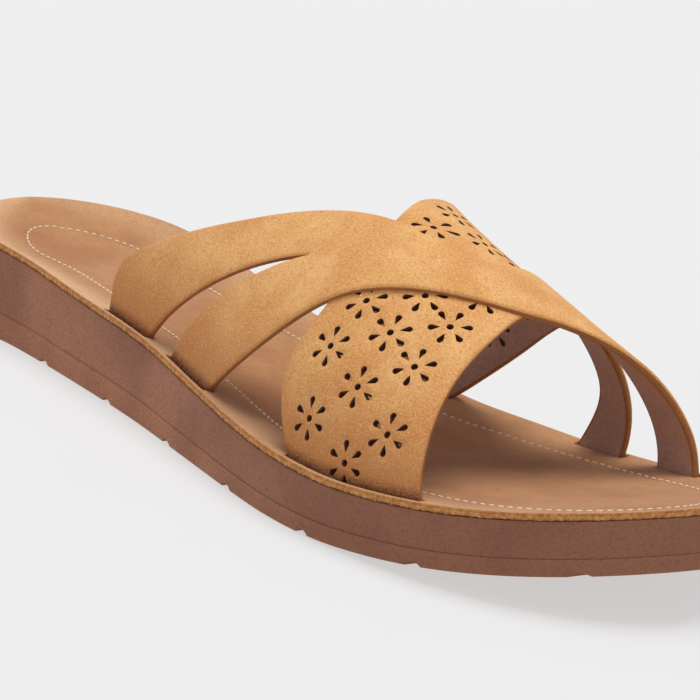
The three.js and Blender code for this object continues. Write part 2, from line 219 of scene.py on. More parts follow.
# %% Surface of the last
OUTER_SWELL, OUTER_POWER = 2.4, 0.99
INNER_SWELL, INNER_POWER = 3.0, 1.09
SWELL_SCALE = 2.6
CLIMBS, ON_TOP, DESCENDS, DOWN = 0.06, 0.3, 0.52, 0.85


def last_point(x, over):
    """Inside of the straps: an arch over the foot that drops straight down past both its bases."""
    held = clamp(over)
    s, c = math.sin(math.pi * held), math.cos(math.pi * held)
    swell, power = (OUTER_SWELL, OUTER_POWER) if c > 0 else (INNER_SWELL, INNER_POWER)
    lean = BALL_WIDTH * last("lean", x) * s * s
    y = middle(x) - (half_width(x) - STRAP_INSET) * c + swell * SWELL_SCALE * s * s * abs(c) + lean
    rise = INSTEP_RISE * last("rise", x) * max(s, 0) ** power
    return Vector((x, y, footbed(x, 1) - STRAP_SEAT + rise - DROP_RATE * abs(over - held)))


def last_frame(x, over):
    """Directions on the last: forward for each millimetre of x, along for a whole share, and out."""
    forward = last_point(x + 0.5, over) - last_point(x - 0.5, over)
    along = (last_point(x, over + 0.004) - last_point(x, over - 0.004)) / 0.008
    return forward, along, forward.cross(along).normalized()


def above(x, over, height):
    """A point at a height over the last."""
    return last_point(x, over) + last_frame(x, over)[2] * height


def strap_edge(column):
    """The line of one strap's edge: its station for each share over the foot."""
    return lambda over: SOLE_LENGTH * follow(STRAP_ROWS, STRAP_TABLE, column, over)


plain_rear, plain_front = strap_edge("plain_rear"), strap_edge("plain_front")
wide_rear, wide_front = strap_edge("wide_rear"), strap_edge("wide_front")


def plain_low(over):
    """The plain strap lies on the last at its ends and climbs over the wide strap between them."""
    return (WALL - PRESS) * smooth(over, CLIMBS, ON_TOP) * (1 - smooth(over, DESCENDS, DOWN))


print("top of the instep:", round(max(above(x, 0.5, WALL).z for x in range(90, 230, 5)), 1), "mm")

# %% [markdown]
# ## Camera, light and floor
# The photo is a catalogue shot with a long lens, from the outer side and a little in front. The shoe stood
# on its heel edge there, so the camera here is rolled by nine degrees to see the flat-standing shoe at the
# same angle. The light is soft and comes from above, with a weak fill from the side of the camera.

# %% Camera
MM = 0.001
BOARD_SET_IN = 0.1
HEEL_X = 1000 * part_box("footbed_board")[0].x + BOARD_SET_IN
SIDE_Y = 0.0945


def metres(point):
    """A point of the shoe in the frame of the CAD, whose origin is under the middle of the shoe."""
    return Vector((point[0] + HEEL_X, point[1] + SIDE_Y, point[2])) * MM


def place_camera(azimuth, elevation, roll, distance, lens, target):
    """A camera that looks at a target from its angles in degrees and its distance in millimetres."""
    a, e, r = (math.radians(angle) for angle in (azimuth, elevation, roll))
    back = Vector((math.sin(a) * math.cos(e), -math.cos(a) * math.cos(e), math.sin(e)))
    level = Vector((math.cos(a), math.sin(a), 0))
    upright = back.cross(level)
    right = level * math.cos(r) + upright * math.sin(r)
    up = upright * math.cos(r) - level * math.sin(r)
    camera = bpy.data.objects.new("camera", bpy.data.cameras.new("camera"))
    camera.data.lens = lens
    camera.data.sensor_width = 36
    camera.data.clip_end = 20
    turn = Matrix((right, up, back)).transposed().to_4x4()
    camera.matrix_world = Matrix.Translation(metres(target) + back * distance * MM) @ turn
    bpy.context.scene.collection.objects.link(camera)
    bpy.context.scene.camera = camera
    return camera


camera = place_camera(
    azimuth=48.56, elevation=14.91, roll=9.106, distance=875.2, lens=186.05, target=(119.5, 15.9, 20)
)
print("camera at", [round(c, 3) for c in camera.matrix_world.translation])

# %% Light and floor
scene = bpy.context.scene
scene.view_settings.view_transform = "Standard"


def soft_sun(name, place, strength, spread):
    """A wide even light from the direction of a place, with its spread in degrees."""
    lamp = bpy.data.lights.new(name, "SUN")
    lamp.energy = strength
    lamp.angle = math.radians(spread)
    made = bpy.data.objects.new(name, lamp)
    made.rotation_euler = Vector(place).to_track_quat("Z", "Y").to_euler()
    made.location = place
    scene.collection.objects.link(made)
    return made


soft_sun("top_light", (0.05, 0.12, 1), 2.0, 38)
soft_sun("side_fill", (-0.5, -0.8, 0.45), 0.4, 90)
world = bpy.data.worlds.new("studio")
world.use_nodes = True
world.node_tree.nodes["Background"].inputs["Color"].default_value = (1, 1, 1, 1)
world.node_tree.nodes["Background"].inputs["Strength"].default_value = 0.34
scene.world = world

# %% [markdown]
# ## Paint for the pieces
# A finish in Blender is a tree of nodes. Long trees are hard to read, so the sums are written as plain
# Python here: a small class wraps the output of a node, and adding or multiplying two of them adds the
# Math node that does it. Colours are mixed with Mix nodes, because a Math node would turn them grey.

# %% The socket class
class Shade:
    """One output in a material's node tree, with arithmetic for values that change over a surface."""

    def __init__(self, tree, output=None):
        self.tree = tree
        self.output = output

    def node(self, kind, settings=None, sockets=None, output=0):
        """A new node of a kind, with its settings first and then the values or links of its sockets."""
        made = self.tree.nodes.new(kind)
        for name, value in (settings or {}).items():
            if name == "stops":
                ramp = made.color_ramp
                while len(ramp.elements) < len(value):
                    ramp.elements.new(1)
                for element, (position, colour) in zip(ramp.elements, value):
                    element.position = position
                    element.color = colour
            else:
                setattr(made, name, value)
        for name, value in (sockets or {}).items():
            if isinstance(value, Shade):
                self.tree.links.new(value.output, made.inputs[name])
            else:
                made.inputs[name].default_value = value
        return Shade(self.tree, made.outputs[output])

    def math(self, operation, first, second):
        return self.node("ShaderNodeMath", {"operation": operation}, {0: first, 1: second})

    def __add__(self, other):
        return self.math("ADD", self, other)

    def __radd__(self, other):
        return self.math("ADD", other, self)

    def __sub__(self, other):
        return self.math("SUBTRACT", self, other)

    def __rsub__(self, other):
        return self.math("SUBTRACT", other, self)

    def __mul__(self, other):
        return self.math("MULTIPLY", self, other)

    def __rmul__(self, other):
        return self.math("MULTIPLY", other, self)

    def between(self, low, high):
        """0 below low, 1 above high, and a soft change between them."""
        settings = {"interpolation_type": "SMOOTHSTEP"}
        return self.node("ShaderNodeMapRange", settings, {"Value": self, "From Min": low, "From Max": high})

    def blend(self, first, second):
        """The first colour where this mask is 0, and the second where it is 1."""
        return self.node("ShaderNodeMix", {"data_type": "RGBA"}, {0: self, 6: first, 7: second}, 2)


def ink(red, green, blue):
    """A colour given as a screen shows it, from 0 to 255, as the linear values that a shader takes."""
    values = [c / 255 for c in (red, green, blue)]
    linear = [v / 12.92 if v <= 0.04045 else ((v + 0.055) / 1.055) ** 2.4 for v in values]
    return (*linear, 1)


print("tan nubuck:", [round(c, 3) for c in ink(214, 156, 96)])

# %% Helpers for finishes
def new_finish(name, **constants):
    """A material with its shader, whose even values are set here, and the place on the shoe in mm."""
    material = bpy.data.materials.new(name)
    material.use_nodes = True
    tree = material.node_tree
    shader = tree.nodes["Principled BSDF"]
    for socket, value in constants.items():
        shader.inputs[socket.replace("_", " ")].default_value = value
    start = Shade(tree)
    place = start.node("ShaderNodeTexCoord", output="Object")
    place = start.node("ShaderNodeVectorMath", {"operation": "SCALE"}, {0: place, "Scale": 1000.0})
    return material, start, place


def cloud(start, place, size, detail=2.0, roughness=0.5):
    """Soft random patches about size millimetres wide, from 0 to 1."""
    sockets = {"Vector": place, "Scale": 1 / size, "Detail": detail, "Roughness": roughness}
    return start.node("ShaderNodeTexNoise", sockets=sockets)


def wear(material, start, colour, roughness, height=None, depth=0.1):
    """Connect the colour, the roughness and the relief, whose depth is in millimetres."""
    shader = material.node_tree.nodes["Principled BSDF"]
    material.node_tree.links.new(colour.output, shader.inputs["Base Color"])
    material.node_tree.links.new(roughness.output, shader.inputs["Roughness"])
    if height is not None:
        relief = start.node("ShaderNodeBump", sockets={"Distance": depth * MM, "Height": height})
        material.node_tree.links.new(relief.output, shader.inputs["Normal"])
    return material


print("finishes have no image in them: each is worked out from the place on the shoe")

# %% [markdown]
# ## Nubuck, lining and cut edges
# Nubuck is grain leather that is sanded to a short velvet. Close up it is a fine sandy speckle, and further
# off it has faint lighter and darker patches where the nap was brushed. Towards the slots the strap is
# painted darker and redder, a painted shade, with a dark painted shadow just above the footbed, so the
# finish reads a mark that each point of the strap carries. The straps are lined with a smooth darker
# leather, and their edges are cut and left raw.

# %% Nubuck of the straps
def strap_nubuck():
    material, start, place = new_finish("strap_nubuck", Sheen_Weight=0.05, Sheen_Roughness=0.4)
    sand = cloud(start, place, 0.6, 3.0, 0.75)
    grit = cloud(start, place, 0.35, 2.0, 0.6)
    patch = cloud(start, place, 12, 3.0)
    brushed = cloud(start, place, 3.0, 3.0, 0.6)
    base = patch.between(0.35, 0.65).blend(ink(229, 161, 91), ink(246, 188, 119))
    base = (brushed.between(0.42, 0.7) * 0.45).blend(base, ink(222, 146, 76))
    # Painted shade: the strap is painted darker and redder towards its base, with a dark painted shadow just
    # above the slot, and the light flecks thin out there.
    base_shade = start.node("ShaderNodeAttribute", {"attribute_name": "pulled_down"}, output="Fac")
    base = (base_shade * 0.85).blend(base, ink(174, 102, 52))
    base = (base_shade.between(0.9, 0.975) * 0.8).blend(base, ink(84, 46, 26))
    colour = (sand.between(0.48, 0.64) * 0.6).blend(base, ink(204, 124, 62))
    colour = (grit.between(0.5, 0.66) * (0.62 - 0.42 * base_shade)).blend(colour, ink(254, 212, 148))
    return wear(material, start, colour, 0.82 + 0.12 * sand, sand, 0.14)


def strap_lining():
    material, start, place = new_finish("strap_lining")
    grain = cloud(start, place, 0.8, 3.0, 0.6)
    patch = cloud(start, place, 12, 2.0)
    base = patch.blend(ink(182, 150, 142), ink(200, 170, 160))
    colour = (grain.between(0.4, 0.7) * 0.4).blend(base, ink(150, 120, 110))
    return wear(material, start, colour, 0.6 + 0.2 * grain, grain, 0.06)


def cut_leather(name, light, dark):
    material, start, place = new_finish(name)
    fibre = cloud(start, place, 0.35, 3.0, 0.7)
    patch = cloud(start, place, 6, 2.0)
    base = patch.blend(light, dark)
    colour = (fibre.between(0.4, 0.65) * 0.4).blend(base, ink(122, 78, 44))
    return wear(material, start, colour, 0.8 + 0.15 * fibre, fibre, 0.12)


nubuck, lining = strap_nubuck(), strap_lining()
raw_edge = cut_leather("raw_edge", ink(184, 124, 72), ink(160, 104, 58))
# The walls of the petals and eyes are painted dark brown: a painted shade for the inside of the holes.
punch_wall_shade = cut_leather("punch_wall_painted_shade", ink(96, 56, 32), ink(78, 44, 26))
print("finishes:", nubuck.name, lining.name, raw_edge.name)

# %% [markdown]
# ## Cutting a sheet to a pattern
# Leather starts as a flat sheet. The pattern cutter draws the outline and the holes, and the press cuts them
# out. The mesh is made in the same order. The outline and every hole are drawn in the flat pattern, the
# area between them is filled with triangles, and the pattern is then laid over the last. Constrained
# Delaunay filling keeps each drawn line as an edge, so that small petals stay crisp without a dense grid.
# The edge gets its own narrow rows of faces, so that it can be rounded as worn leather is.

# %% Laying a pattern over a surface
def edge_lines(loop, place):
    """Points on a loop with the surface's own direction, and the direction into the sheet on its left."""
    spots = [place(*spot) for spot in loop]
    lines = []
    for i, (point, out) in enumerate(spots):
        ahead = spots[(i + 1) % len(spots)][0] - spots[i - 1][0]
        lines.append((point, out, out.cross(ahead).normalized()))
    return lines


def outside_cuts(points, faces, cuts):
    """The triangles whose middle lies in none of the holes."""
    boxes = []
    for cut in cuts:
        lengths, widths = [p[0] for p in cut], [p[1] for p in cut]
        boxes.append((min(lengths), max(lengths), min(widths), max(widths)))
    kept = []
    for face in faces:
        a, b = (sum(points[i][k] for i in face) / 3 for k in (0, 1))
        inside = False
        for cut, (left, right, low, high) in zip(cuts, boxes):
            if left < a < right and low < b < high:
                for (x1, y1), (x2, y2) in zip(cut, cut[1:] + cut[:1]):
                    if (y1 > b) != (y2 > b) and a < x1 + (b - y1) * (x2 - x1) / (y2 - y1):
                        inside = not inside
        if not inside:
            kept.append(face)
    return kept


ROW_HEIGHT = 0.866
CLEAR_SHARE = 0.55


def fill_pattern(loops, spacing, stretch, guides=()):
    """Triangles between the loops. The stretch turns pattern units into millimetres for even triangles."""
    points = [(u * stretch[0], v * stretch[1]) for loop in loops for u, v in loop]
    edges = []
    start = 0
    for loop in loops:
        edges += [(start + i, start + (i + 1) % len(loop)) for i in range(len(loop))]
        start += len(loop)
    fixed = len(points)
    for guide in guides:
        points += [(u * stretch[0], v * stretch[1]) for u, v in guide]
    near = kdtree.KDTree(len(points))
    for i, (a, b) in enumerate(points):
        near.insert((a, b, 0), i)
    near.balance()
    low = [min(p[k] for p in points[:fixed]) for k in (0, 1)]
    high = [max(p[k] for p in points[:fixed]) for k in (0, 1)]
    row, b = 0, low[1]
    while b < high[1]:
        a = low[0] + (row % 2) * spacing / 2
        while a < high[0]:
            if near.find((a, b, 0))[2] > CLEAR_SHARE * spacing:
                points.append((a, b))
            a += spacing
        row, b = row + 1, b + spacing * ROW_HEIGHT
    flat = [Vector(p) for p in points]
    made, _, faces, origin, _, _ = geometry.delaunay_2d_cdt(flat, edges, [], 1, 1e-5)
    cuts = [[(u * stretch[0], v * stretch[1]) for u, v in loop] for loop in loops[1:]]
    faces = outside_cuts(made, faces, cuts)
    places = [(p[0] / stretch[0], p[1] / stretch[1]) for p in made]
    found = {old: new for new, olds in enumerate(origin) for old in olds}
    borders = []
    start = 0
    for loop in loops:
        borders.append([found[start + i] for i in range(len(loop))])
        start += len(loop)
    return places, [list(face) for face in faces], borders


print("pattern tools ready")

# %% Marks on the points of a piece
def mark(piece, name, value):
    """Give each point of a piece a number that its finish can read. The value is worked out in the frame."""
    marks = piece.data.attributes.new(name, "FLOAT", "POINT")
    marks.data.foreach_set("value", [value(vertex.co / MM) for vertex in piece.data.vertices])


SHADE_FROM, SHADE_TO = -4, 36


def pulled_down(spot):
    """Painted shade on the straps: 1 where a strap goes down into the sole and 0 from a thumb's width above
    it.
    """
    x = spot.x - HEEL_X
    rise = spot.z - footbed(clamp(x, 1, SOLE_LENGTH - 1), 1)
    return (1 - smooth(rise, SHADE_FROM, SHADE_TO)) ** 1.3


print("marks are worked out in millimetres, from", SHADE_FROM, "to", SHADE_TO, "over the footbed")


# %% Building the sheet's mesh
def new_piece(name, points, faces, finishes, slots=None):
    """A mesh of the shoe from points in its own millimetres, with its finishes, riding on the shoe."""
    mesh = bpy.data.meshes.new(name)
    mesh.from_pydata([metres(p) for p in points], [], faces)
    for finish in finishes:
        mesh.materials.append(finish)
    if slots is not None:
        mesh.polygons.foreach_set("material_index", slots)
    mesh.polygons.foreach_set("use_smooth", [True] * len(mesh.polygons))
    mesh.update()
    made = bpy.data.objects.new(name, mesh)
    scene.collection.objects.link(made)
    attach(made, "root")
    return made


EDGE_STEPS = 3


def edge_rings(thickness, radius, steps):
    """How far in and how high each row of a rounded edge lies, from the back to the face."""
    turns = [math.pi / 2 * i / steps for i in range(1, steps + 1)]
    low = [(radius * (1 - math.sin(turn)), radius * (1 - math.cos(turn))) for turn in turns]
    return low + [(inset, thickness - height) for inset, height in reversed(low)]


def cut_sheet(
    name, loops, place, shift, stretch, thickness, edges, spacing, finishes, relief=None, guides=()
):
    """A sheet with rounded edges: those of the outline and of the holes.

    Its finishes are those of its face, its outer edge, its back and the walls of its holes.
    """
    points, faces, slots = [], [], []
    lines = [edge_lines(loop, place) for loop in loops]
    rounds = [edges[0]] + [edges[1]] * (len(loops) - 1)
    inner = [
        [shift(*spot, into * radius) for spot, (_, _, into) in zip(loop, line)]
        for loop, line, radius in zip(loops, lines, rounds)
    ]
    places, triangles, borders = fill_pattern(inner, spacing, stretch, guides)
    used = sorted({k for triangle in triangles for k in triangle})
    spots = {k: place(*places[k]) for k in used}
    backs, fronts = {}, {}
    for k in used:
        point, out = spots[k]
        backs[k] = len(points)
        points.append(point)
        fronts[k] = len(points)
        points.append(point + out * (thickness + (relief(*places[k]) if relief else 0)))
    a, b, c = triangles[0]
    if (spots[b][0] - spots[a][0]).cross(spots[c][0] - spots[a][0]).dot(spots[a][1]) < 0:
        triangles = [triangle[::-1] for triangle in triangles]
    for a, b, c in triangles:
        faces.append((fronts[a], fronts[b], fronts[c]))
        faces.append((backs[c], backs[b], backs[a]))
        slots += [0, 2]
    for number, (line, border, radius) in enumerate(zip(lines, borders, rounds)):
        steps = EDGE_STEPS if number == 0 else 1
        rows = [[backs[k] for k in border]]
        for inset, height in edge_rings(thickness, radius, steps):
            rows.append(list(range(len(points), len(points) + len(line))))
            points += [point + into * inset + out * height for point, out, into in line]
        rows.append([fronts[k] for k in border])
        for strip, (low, high) in enumerate(zip(rows, rows[1:])):
            slot = 3 if number else 0 if strip > steps else 1
            for i in range(len(low)):
                j = (i + 1) % len(low)
                faces.append((low[i], low[j], high[j], high[i]))
                slots.append(slot)
    piece = new_piece(name, points, faces, finishes, slots)
    print(name, "has", len(faces), "faces and", len(loops) - 1, "holes")
    return piece


# %% [markdown]
# ## The wide strap with its daisies
# Each daisy is punched: six teardrop petals that point inwards, round a small eye. They stand in rows along
# the strap. The petals are drawn in real millimetres round a place on the strap, and then turned into
# pattern shares there, so that a daisy keeps its size where the last curves.

# %% Places on the last
def strap_place(over, x):
    """The inside of a strap at a place of the pattern, and the direction out of it."""
    point, out = last_point(x, over), last_frame(x, over)[2]
    return point, out


def strap_shift(over, x, move):
    """The place of the pattern that a small move in millimetres leads to."""
    forward, along, _ = last_frame(x, over)
    skew = forward.dot(along)
    scale = forward.length_squared * along.length_squared - skew * skew
    f, a = move.dot(forward), move.dot(along)
    over_move = (a * forward.length_squared - f * skew) / scale
    x_move = (f * along.length_squared - a * skew) / scale
    return over + over_move, x + x_move


OVER_MM = 150
ROW_STEP = 0.008
TAIL_SHARE = TAIL / DROP_RATE


def edge_run(line, start, end):
    """Points on a strap's edge from one share over the foot to another."""
    count = max(2, round(abs(end - start) / ROW_STEP))
    return [(mix(start, end, i / count), line(mix(start, end, i / count))) for i in range(count + 1)]


def end_run(over, start, end):
    """Points across a strap's end."""
    count = max(2, round(abs(end - start) / 1.5))
    return [(over, mix(start, end, i / count)) for i in range(1, count)]


print("over the instep a whole share is", round(last_frame(140, 0.5)[1].length), "mm")

# %% Punches for the daisies
DAISY_ROWS = [
    (0.036, 0.52), (0.072, 0.26), (0.112, 0.78), (0.156, 0.52), (0.18, 0.23), (0.24, 0.76), (0.26, 0.52),
    (0.272, 0.26), (0.344, 0.79), (0.356, 0.56), (0.448, 0.81), (0.484, 0.28), (0.564, 0.19), (0.58, 0.46),
    (0.636, 0.62), (0.66, 0.23), (0.7, 0.48), (0.76, 0.75), (0.79, 0.25), (0.83, 0.47), (0.848, 0.745),
    (0.92, 0.6),
]
DAISY_TURN = math.radians(16)
PETAL_REACH = 4.75
PETAL_LENGTH = 2.6
PETAL_ROUND = 0.66
EYE_ROUND = 0.72


def petal(angle):
    """A teardrop in millimetres round the middle of its daisy, pointed inwards."""
    centre = PETAL_REACH - PETAL_ROUND
    tip = PETAL_REACH - PETAL_LENGTH
    open_angle = math.acos(PETAL_ROUND / (centre - tip))
    shape = [(tip, 0.0), (mix(tip, centre, 0.4), -0.42 * PETAL_ROUND)]
    for i in range(11):
        turn = mix(open_angle - math.pi, math.pi - open_angle, i / 10)
        shape.append((centre + PETAL_ROUND * math.cos(turn), PETAL_ROUND * math.sin(turn)))
    shape.append((mix(tip, centre, 0.4), 0.42 * PETAL_ROUND))
    c, s = math.cos(angle), math.sin(angle)
    return [(a * c - b * s, a * s + b * c) for a, b in shape]


def punch(over, x, shape):
    """A shape in millimetres as a hole in the pattern, drawn the other way round from the outline."""
    forward, along, out = last_frame(x, over)
    lengthwise = along.normalized()
    sideways = out.cross(lengthwise)
    hole = [strap_shift(over, x, lengthwise * a + sideways * b) for a, b in shape]
    return hole[::-1]


def daisy_holes():
    holes = []
    for over, across in DAISY_ROWS:
        x = mix(wide_rear(over), wide_front(over), across)
        shapes = [petal(DAISY_TURN + i * math.pi / 3) for i in range(6)]
        ring = [2 * math.pi * i / 12 for i in range(12)]
        shapes.append([(EYE_ROUND * math.cos(t), EYE_ROUND * math.sin(t)) for t in ring])
        holes += [punch(over, x, shape) for shape in shapes]
    return holes


holes = daisy_holes()
print(len(holes), "petals and eyes to punch")

# %% The wide strap
STRAP_EDGE = 0.65
PUNCH_EDGE = 0.08
STRAP_GRID = 1.7
RIPPLE_SIZE = 26
RIPPLE_DEPTH = 0.22


def strap_outline(rear, front):
    """The strap's outline in the pattern, with the leather on the left as it is seen from outside."""
    start, end = -TAIL_SHARE, 1 + TAIL_SHARE
    return (
        end_run(start, rear(start), front(start))
        + edge_run(front, start, end)
        + end_run(end, front(end), rear(end))
        + edge_run(rear, end, start)
    )


def ripple(over, x):
    """Leather is never quite even: a slow swell of up to a fifth of a millimetre each way."""
    spot = Vector((over * OVER_MM / RIPPLE_SIZE, x / RIPPLE_SIZE, 3.7))
    return RIPPLE_DEPTH * noise.noise(spot)


def wide_place(over, x):
    point, out = strap_place(over, x)
    return point + out * ripple(over, x), out


STRETCH = (OVER_MM, 1)
wide_strap = cut_sheet(
    "wide_strap", [strap_outline(wide_rear, wide_front)] + holes, wide_place, strap_shift, STRETCH,
    WALL, (STRAP_EDGE, PUNCH_EDGE), STRAP_GRID, (nubuck, raw_edge, lining, punch_wall_shade),
)

# %% [markdown]
# ## The plain strap
# The plain strap lies on top where the two cross, and is stuck down there. Towards each side it is split by
# a long slit into two tails, and each tail has its own slot in the footbed. The slit is widest at the
# footbed and closes to a point.

# %% Slits and the plain strap
OUTER_SLIT = {"base": 0.0, "tip": 0.25, "width": 0.047, "line": (0.423, 0.479, 0.573)}
INNER_SLIT = {"base": 1.0, "tip": 0.695, "width": 0.04, "line": (0.77, 0.767, 0.746)}
SLIT_END = 0.3


def slit_edge(slit, side):
    """One side of a slit: -1 towards the heel and 1 towards the toe."""

    def line(over):
        t = clamp((clamp(over) - slit["base"]) / (slit["tip"] - slit["base"]))
        base, half, tip = slit["line"]
        bend = base * (1 - t) * (1 - 2 * t) + 4 * half * t * (1 - t) + tip * t * (2 * t - 1)
        width = max(SOLE_LENGTH * slit["width"] * (1 - t) ** 0.8, SLIT_END)
        return SOLE_LENGTH * bend + side * width / 2

    return line


outer_rear, outer_front = slit_edge(OUTER_SLIT, -1), slit_edge(OUTER_SLIT, 1)
inner_rear, inner_front = slit_edge(INNER_SLIT, -1), slit_edge(INNER_SLIT, 1)


def plain_outline():
    start, end = -TAIL_SHARE, 1 + TAIL_SHARE
    return (
        end_run(start, plain_rear(start), outer_rear(start))
        + edge_run(outer_rear, start, OUTER_SLIT["tip"])
        + edge_run(outer_front, OUTER_SLIT["tip"], start)
        + end_run(start, outer_front(start), plain_front(start))
        + edge_run(plain_front, start, end)
        + end_run(end, plain_front(end), inner_front(end))
        + edge_run(inner_front, end, INNER_SLIT["tip"])
        + edge_run(inner_rear, INNER_SLIT["tip"], end)
        + end_run(end, inner_rear(end), plain_rear(end))
        + edge_run(plain_rear, end, start)
    )


def plain_place(over, x):
    point, out = strap_place(over, x)
    return point + out * (plain_low(over) + ripple(over, x + 60)), out


plain_strap = cut_sheet(
    "plain_strap", [plain_outline()], plain_place, strap_shift, STRETCH,
    WALL, (STRAP_EDGE, PUNCH_EDGE), STRAP_GRID, (nubuck, raw_edge, lining, punch_wall_shade),
)
for strap in (wide_strap, plain_strap):
    mark(strap, "pulled_down", pulled_down)
    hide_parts("upper")

# %% [markdown]
# ## The footbed
# The footbed is a suede cover over a thin foam board. The board is wrapped, and shows as a second soft tan
# line below the cover, with a dark frayed border where the wrap is turned under. A row of cream thread runs
# round the cover a finger's width inside the edge and pulls it down into a shallow channel. The cover is cut
# like the straps, with the slots as holes, and its surface follows the cup of the heel.

# %% Suede and thread
def footbed_suede():
    material, start, place = new_finish("footbed_suede", Sheen_Weight=0.2, Sheen_Roughness=0.4)
    nap = cloud(start, place, 0.6, 3.0, 0.7)
    patch = cloud(start, place, 18, 3.0)
    streak = cloud(start, place, 4, 2.0)
    rubbed = start.node("ShaderNodeAttribute", {"attribute_name": "rubbed"}, output="Fac")
    base = patch.between(0.35, 0.7).blend(ink(198, 142, 94), ink(184, 125, 80))
    base = (streak.between(0.45, 0.8) * 0.4).blend(base, ink(170, 114, 76))
    # Painted light: the cover is painted lighter near the rim, most at the heel.
    base = (rubbed * 0.9).blend(base, ink(240, 194, 146))
    colour = (nap.between(0.45, 0.7) * 0.45).blend(base, ink(162, 106, 68))
    return wear(material, start, colour, 0.86 + 0.1 * nap, nap, 0.12)


def wrap_suede():
    material, start, place = new_finish("wrap_suede")
    nap = cloud(start, place, 0.5, 3.0, 0.7)
    fray = cloud(start, place, 1.1, 3.0, 0.6)
    border = start.node("ShaderNodeAttribute", {"attribute_name": "lower_border"}, output="Fac")
    base = fray.between(0.35, 0.65).blend(ink(220, 156, 92), ink(186, 118, 62))
    colour = (nap.between(0.45, 0.7) * 0.45).blend(base, ink(146, 88, 46))
    colour = (border * fray.between(0.38, 0.55)).blend(colour, ink(62, 36, 24))
    return wear(material, start, colour, 0.85 + 0.1 * nap, nap, 0.2)


def cream_thread():
    material, start, place = new_finish("cream_thread")
    ply = cloud(start, place, 0.4, 2.0)
    colour = ply.blend(ink(252, 238, 214), ink(236, 214, 184))
    return wear(material, start, colour, 0.6 + 0.2 * ply, ply, 0.08)


suede, wrap, thread = footbed_suede(), wrap_suede(), cream_thread()
print("finishes:", suede.name, wrap.name, thread.name)

# %% Outline of the sole
def sole_outline(count):
    """Points round the sole from the heel tip along the outer side, each with its outward direction."""
    rim = []
    for i in range(2 * count):
        x = SOLE_LENGTH * (1 - math.cos(math.pi * i / count)) / 2
        rim.append(Vector((x, middle(x) + (-1 if i < count else 1) * half_width(x))))
    ahead = [rim[(i + 1) % len(rim)] - rim[i - 1] for i in range(len(rim))]
    return [(point, Vector((d.y, -d.x)).normalized()) for point, d in zip(rim, ahead)]


def inset_line(outline, inset, pitch):
    """An even line of points inside the outline. The inset is a size that may change along the shoe."""
    line = [point - out * inset(point) for point, out in outline]
    line.append(line[0])
    lengths = [(b - a).length for a, b in zip(line, line[1:])]
    count = round(sum(lengths) / pitch)
    step = sum(lengths) / count
    even, i, done = [], 0, 0.0
    for k in range(count):
        while done + lengths[i] < k * step:
            done += lengths[i]
            i += 1
        even.append(line[i].lerp(line[i + 1], (k * step - done) / lengths[i]))
    return even


outline = sole_outline(160)


def stitch_inset(point):
    """The thread keeps further from the edge round the heel, most on the outer side, and less at the toe."""
    outer = clamp((middle(point.x) - point.y) / 25, 0, 1)
    corner = smooth(middle(point.x) - point.y, -8, 17) * (1 - smooth(point.x, 4, 46))
    heel = (2.4 + 2.4 * outer - 3.6 * corner) * (1 - smooth(point.x, 30, 110))
    return 12.6 + heel - 3.1 * smooth(point.x, 205, 250)


stitch_line = inset_line(outline, stitch_inset, 0.5)
print("stitch line:", round(len(stitch_line) * 0.5), "mm long")

# %% The footbed's cover
COVER_OUT = -0.2
COVER_EDGE = 0.22
SLOT_EDGE = 0.1
SLOT_GAP = 0.45
SLOT_PLAY = 1.0
CHANNEL_DEPTH = 0.35
CHANNEL_WIDTH = 0.8
FOAM_SWELL = 0.12
FOAM_PATCH = 22
COVER_GRID = 2.2

stitch_tree = kdtree.KDTree(len(stitch_line))
for index, spot in enumerate(stitch_line):
    stitch_tree.insert((*spot, 0), index)
stitch_tree.balance()


def across(x, y):
    """How far a place lies from the middle line, from -1 at the outer edge to 1 at the inner edge."""
    half = half_width(clamp(x, 0, SOLE_LENGTH))
    return clamp((y - middle(x)) / half, -1, 1) if half > 0.5 else 0.0


def cover_place(x, y):
    return Vector((x, y, cover_height(clamp(x, 0, SOLE_LENGTH), across(x, y)))), Vector((0, 0, 1))


def flat_shift(x, y, move):
    return x + move.x, y + move.y


def channel(x, y):
    """The thread pulls the cover down along its line, and the foam swells a little on both sides."""
    away = stitch_tree.find((x, y, 0))[2]
    pull = CHANNEL_DEPTH * math.exp(-((away / CHANNEL_WIDTH) ** 2))
    return FOAM_SWELL * noise.noise(Vector((x, y, 0)) / FOAM_PATCH) - pull


def slot_hole(rear, front, over):
    """The slot that a strap's end passes through, seen from above, with the cover on its left."""
    side = SLOT_GAP
    first, final = rear(over) - side, front(over) + side
    count = round((final - first) / 1.5)
    stations = [mix(first, final, i / count) for i in range(count + 1)]
    inner = [above(x, over, -side).xy for x in stations]
    outer = [above(x, over, WALL + SLOT_PLAY).xy for x in stations]
    loop = [tuple(p) for p in inner + outer[::-1]]
    turned = sum(a[0] * b[1] - b[0] * a[1] for a, b in zip(loop, loop[1:] + loop[:1]))
    return loop[::-1] if turned > 0 else loop


STRAP_ENDS = [
    (plain_rear, outer_rear, 0),
    (outer_front, plain_front, 0),
    (wide_rear, wide_front, 0),
    (wide_rear, wide_front, 1),
    (plain_rear, inner_rear, 1),
    (inner_front, plain_front, 1),
]
slot_holes = [slot_hole(*end) for end in STRAP_ENDS]
cover_loop = [tuple(p) for p in inset_line(outline, lambda point: -COVER_OUT, 1.5)]
guides = []
for shift_out in (-1.2, -0.6, 0, 0.6, 1.2):
    guide = inset_line(outline, lambda point: stitch_inset(point) + shift_out, 1.0)
    guides.append([tuple(p) for p in guide])
cover = cut_sheet(
    "footbed_cover", [cover_loop] + slot_holes, cover_place, flat_shift, (1, 1),
    COVER, (COVER_EDGE, SLOT_EDGE), COVER_GRID, (suede, wrap, wrap, wrap), channel, guides,
)
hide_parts("insole")


